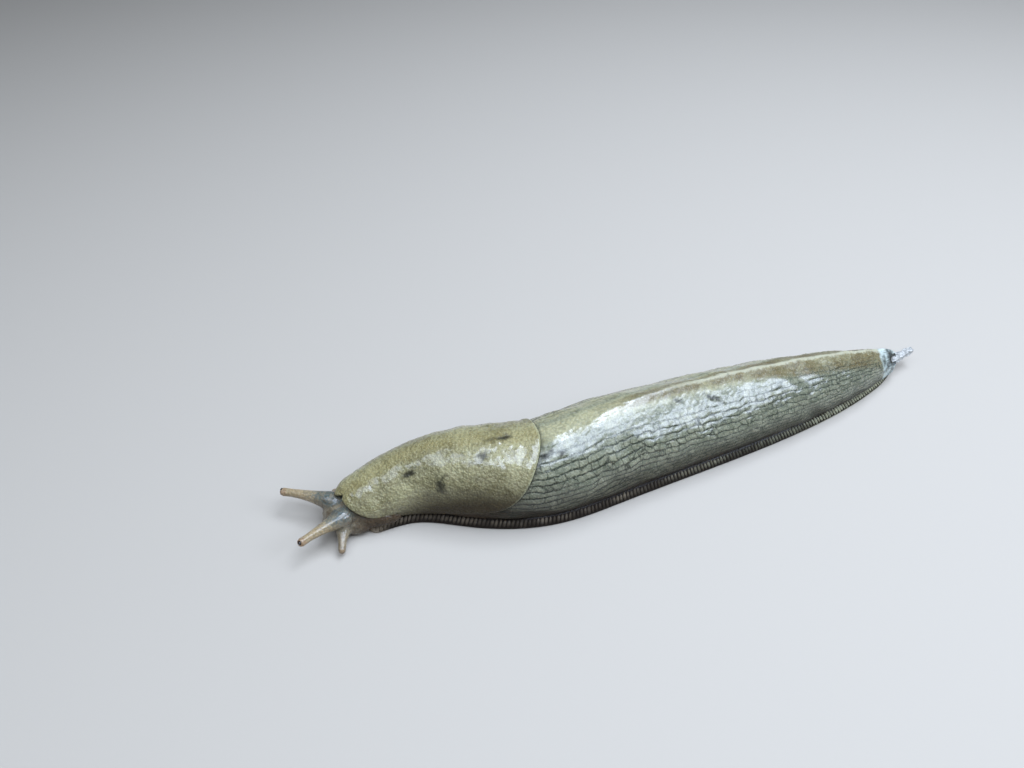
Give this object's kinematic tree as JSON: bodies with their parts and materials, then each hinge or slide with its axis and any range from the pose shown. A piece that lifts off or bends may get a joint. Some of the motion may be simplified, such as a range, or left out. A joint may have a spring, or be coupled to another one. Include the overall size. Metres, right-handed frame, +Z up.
{
  "type": "banana slug model",
  "caption": "Life-size still model of a crawling banana slug with mantle, keeled tail, ribbed foot fringe, eye stalks and feelers.",
  "frame": {"origin": "on the sole of the foot, at half the body's length and on its straight lengthwise line", "axes": "+Z up from the sole, +X from the head towards the tail, +Y to the animal's right"},
  "size_m": [0.1636, 0.026, 0.0197],
  "materials": {
    "back_skin": "wet, olive grey, furrowed",
    "mantle_skin": "wet, yellow olive, finely granular",
    "foot_skin": "wet, pale grey tan with dark stripes on the fringe",
    "head_skin": "wet, translucent grey tan",
    "tail_tip_skin": "wet, pale blue white",
    "eye": "glossy, near black",
    "mucus": "wet, translucent"
  },
  "bodies": {
    "root": {"head": "head_skin", "neck": "back_skin", "trunk_front": "back_skin", "trunk_middle": "back_skin", "trunk_rear": "back_skin", "tail": "back_skin", "tail_tip": "tail_tip_skin", "mucus_plug": "mucus", "mantle": "mantle_skin", "foot_front": "foot_skin", "foot_middle": "foot_skin", "foot_rear": "foot_skin", "eye_stalk_left": "head_skin", "eye_stalk_right": "head_skin", "eye_left": "eye", "eye_right": "eye", "feeler_left": "head_skin", "feeler_right": "head_skin"}
  },
  "joints": []
}
